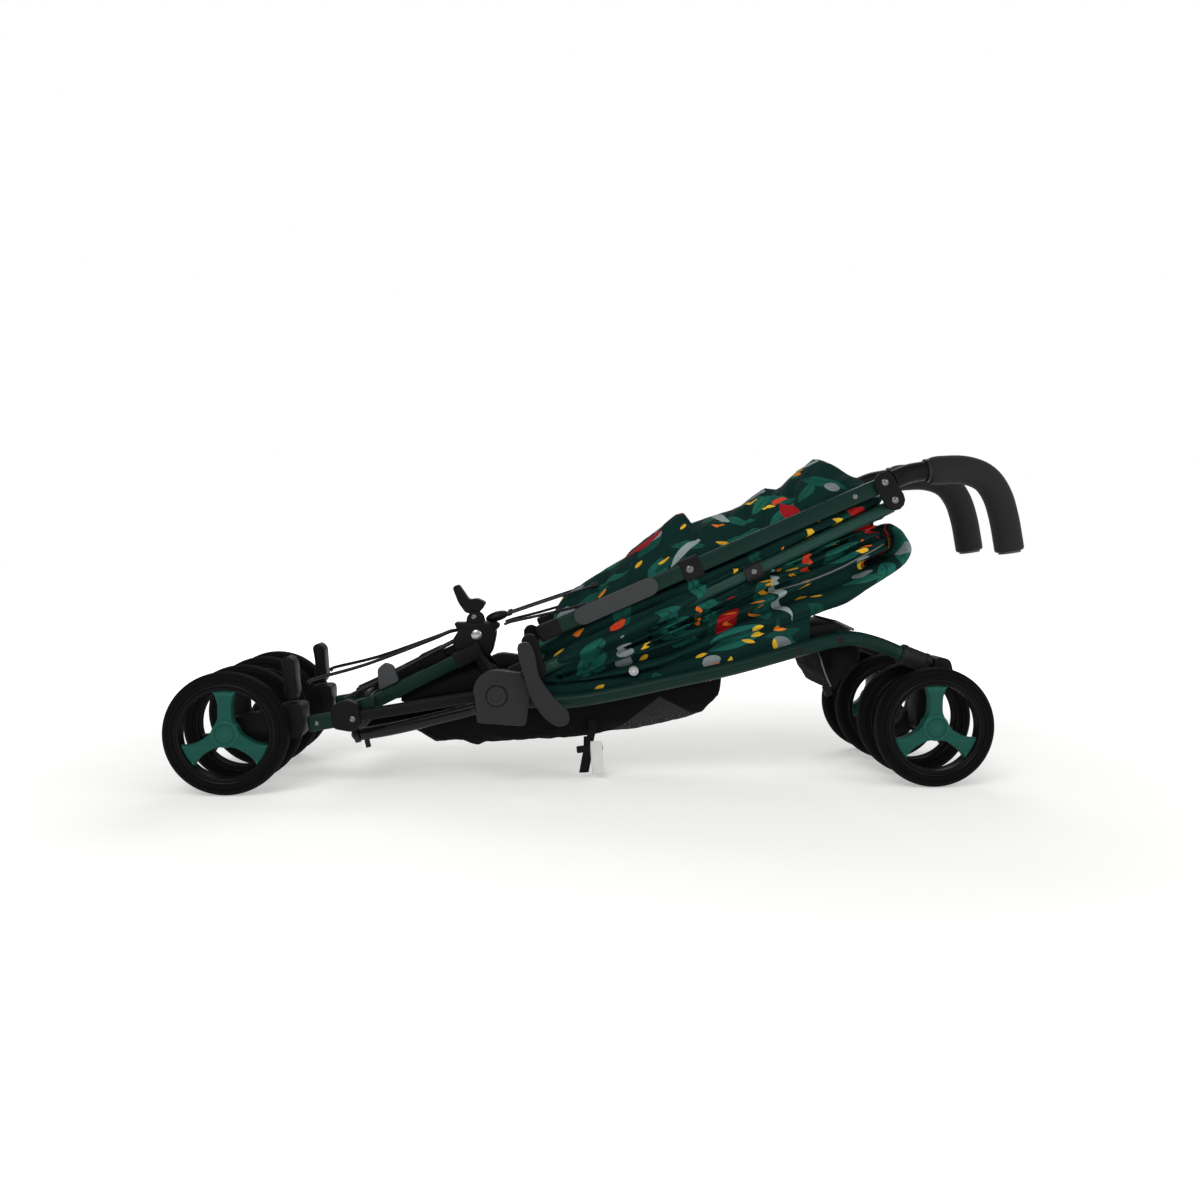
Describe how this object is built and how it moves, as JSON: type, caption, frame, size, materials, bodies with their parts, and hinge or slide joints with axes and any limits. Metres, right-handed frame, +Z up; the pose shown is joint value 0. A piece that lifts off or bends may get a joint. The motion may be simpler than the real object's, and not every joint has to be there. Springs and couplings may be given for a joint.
{
  "type": "folded umbrella-fold stroller",
  "caption": "Folded umbrella-fold stroller with paired wheels, J-shaped foam grips, a hinged tube frame and a printed seat and hood folded between its side frames.",
  "frame": {"origin": "on the ground under the middle of the bounding box, in the folded state", "axes": "+X along the folded length towards the grips and front casters, +Z up, -Y towards the left side frame"},
  "size_m": [1.0875, 0.276, 0.4199],
  "materials": {
    "green_paint": "dark green powder coat, satin",
    "green_plastic": "moulded, satin",
    "black_plastic": "moulded, fine texture",
    "grey_plastic": "moulded, satin",
    "tyre_rubber": "matte",
    "grip_foam": "closed-cell foam",
    "black_paint": "black powder coat",
    "black_cable": "sleeved cable",
    "printed_fabric": "woven polyester with an all-over leaf print",
    "black_fabric": "woven polyester and mesh",
    "black_webbing": "woven webbing",
    "tag_fabric": "blank woven label"
  },
  "bodies": {
    "front_frame": {"front_leg_left": "green_paint", "front_leg_right": "green_paint", "hinge_cover_left": "black_plastic", "hinge_cover_right": "black_plastic", "hinge_pin_left": "grey_plastic", "hinge_pin_right": "grey_plastic", "leg_sleeve_left": "black_plastic", "leg_sleeve_right": "black_plastic", "front_crossbar": "black_paint", "calf_board": "grey_plastic", "calf_fabric": "black_fabric", "basket": "black_fabric", "strap": "black_webbing", "care_tag": "tag_fabric"},
    "rear_frame": {"rear_leg_left": "green_paint", "rear_leg_right": "green_paint", "rear_carrier_left": "black_plastic", "rear_carrier_right": "black_plastic", "cross_tube_left": "green_paint", "cross_tube_right": "green_paint", "basket_hoop": "black_plastic", "brake_wire": "black_cable", "fold_hub": "black_plastic", "tongue_tab": "grey_plastic"},
    "pusher_frame": {"pusher_tube_left": "green_paint", "pusher_tube_right": "green_paint", "upper_tube_left": "green_paint", "upper_tube_right": "green_paint", "tube_joint_left": "black_plastic", "tube_joint_right": "black_plastic", "lower_link_left": "black_plastic", "lower_link_right": "black_plastic", "tube_pad_left": "black_plastic", "tube_pad_right": "black_plastic", "top_link_left": "black_plastic", "top_link_right": "black_plastic", "handle_sleeve_left": "black_plastic", "handle_sleeve_right": "black_plastic", "handle_grip_left": "grip_foam", "handle_grip_right": "grip_foam", "seat_fabric": "printed_fabric", "hood_fabric": "printed_fabric"},
    "catch": {"catch_lever": "black_plastic"},
    "pedal": {"fold_pedal": "black_plastic"},
    "brake_left": {"brake_pedal_left": "black_plastic"},
    "brake_right": {"brake_pedal_right": "black_plastic"},
    "caster_left": {"caster_housing_left": "black_plastic"},
    "caster_right": {"caster_housing_right": "black_plastic"},
    "wheel_rear_left_outer": {"tyre_rear_left_outer": "tyre_rubber", "spokes_rear_left_outer": "green_plastic"},
    "wheel_rear_left_inner": {"wheel_rear_left_inner": "tyre_rubber"},
    "wheel_rear_right_outer": {"tyre_rear_right_outer": "tyre_rubber", "spokes_rear_right_outer": "green_plastic"},
    "wheel_rear_right_inner": {"wheel_rear_right_inner": "tyre_rubber"},
    "wheel_front_left_outer": {"tyre_front_left_outer": "tyre_rubber", "spokes_front_left_outer": "green_plastic"},
    "wheel_front_left_inner": {"wheel_front_left_inner": "tyre_rubber"},
    "wheel_front_right_outer": {"tyre_front_right_outer": "tyre_rubber", "spokes_front_right_outer": "green_plastic"},
    "wheel_front_right_inner": {"wheel_front_right_inner": "tyre_rubber"}
  },
  "joints": [
    {"name": "rear_fold", "type": "hinge", "parent": "front_frame", "child": "rear_frame", "pos_m": [-0.1416, 0, 0.117], "axis": [0, -1, 0], "range_deg": [0, 105], "deforming": ["basket"]},
    {"name": "pusher_fold", "type": "hinge", "parent": "front_frame", "child": "pusher_frame", "pos_m": [-0.1416, 0, 0.117], "axis": [0, -1, 0], "range_deg": [0, 145]},
    {"name": "catch_swing", "type": "hinge", "parent": "pusher_frame", "child": "catch", "pos_m": [-0.1056, -0.126, 0.175], "axis": [0, -1, 0], "range_deg": [0, 25]},
    {"name": "fold_pedal_press", "type": "hinge", "parent": "rear_frame", "child": "pedal", "pos_m": [-0.1756, 0, 0.2085], "axis": [0, -1, 0], "range_deg": [0, 20]},
    {"name": "brake_left_press", "type": "hinge", "parent": "rear_frame", "child": "brake_left", "pos_m": [-0.3966, -0.0885, 0.115], "axis": [0, -1, 0], "range_deg": [0, 18]},
    {"name": "brake_right_press", "type": "hinge", "parent": "rear_frame", "child": "brake_right", "pos_m": [-0.3966, 0.0885, 0.115], "axis": [0, -1, 0], "range_deg": [0, 18]},
    {"name": "caster_left_swivel", "type": "hinge", "parent": "front_frame", "child": "caster_left", "pos_m": [0.4132, -0.0885, 0.14927], "axis": [-0.93, 0, 0.3675], "range_deg": [-12, 60]},
    {"name": "caster_right_swivel", "type": "hinge", "parent": "front_frame", "child": "caster_right", "pos_m": [0.4132, 0.0885, 0.14927], "axis": [0.93, 0, -0.3675], "range_deg": [-12, 60]},
    {"name": "wheel_rear_left_outer_spin", "type": "hinge", "parent": "rear_frame", "child": "wheel_rear_left_outer", "pos_m": [-0.4681, -0.126, 0.07535], "axis": [0, 1, 0], "continuous": true},
    {"name": "wheel_rear_left_inner_spin", "type": "hinge", "parent": "rear_frame", "child": "wheel_rear_left_inner", "pos_m": [-0.4681, -0.051, 0.07535], "axis": [0, 1, 0], "continuous": true},
    {"name": "wheel_rear_right_outer_spin", "type": "hinge", "parent": "rear_frame", "child": "wheel_rear_right_outer", "pos_m": [-0.4681, 0.126, 0.07535], "axis": [0, 1, 0], "continuous": true},
    {"name": "wheel_rear_right_inner_spin", "type": "hinge", "parent": "rear_frame", "child": "wheel_rear_right_inner", "pos_m": [-0.4681, 0.051, 0.07535], "axis": [0, 1, 0], "continuous": true},
    {"name": "wheel_front_left_outer_spin", "type": "hinge", "parent": "caster_left", "child": "wheel_front_left_outer", "pos_m": [0.4062, -0.126, 0.07535], "axis": [0, 1, 0], "continuous": true},
    {"name": "wheel_front_left_inner_spin", "type": "hinge", "parent": "caster_left", "child": "wheel_front_left_inner", "pos_m": [0.4062, -0.051, 0.07535], "axis": [0, 1, 0], "continuous": true},
    {"name": "wheel_front_right_outer_spin", "type": "hinge", "parent": "caster_right", "child": "wheel_front_right_outer", "pos_m": [0.4062, 0.126, 0.07535], "axis": [0, 1, 0], "continuous": true},
    {"name": "wheel_front_right_inner_spin", "type": "hinge", "parent": "caster_right", "child": "wheel_front_right_inner", "pos_m": [0.4062, 0.051, 0.07535], "axis": [0, 1, 0], "continuous": true}
  ],
  "couplings": [
    {"joint": "pusher_fold", "follows": "rear_fold", "ratio": 1.38}
  ]
}
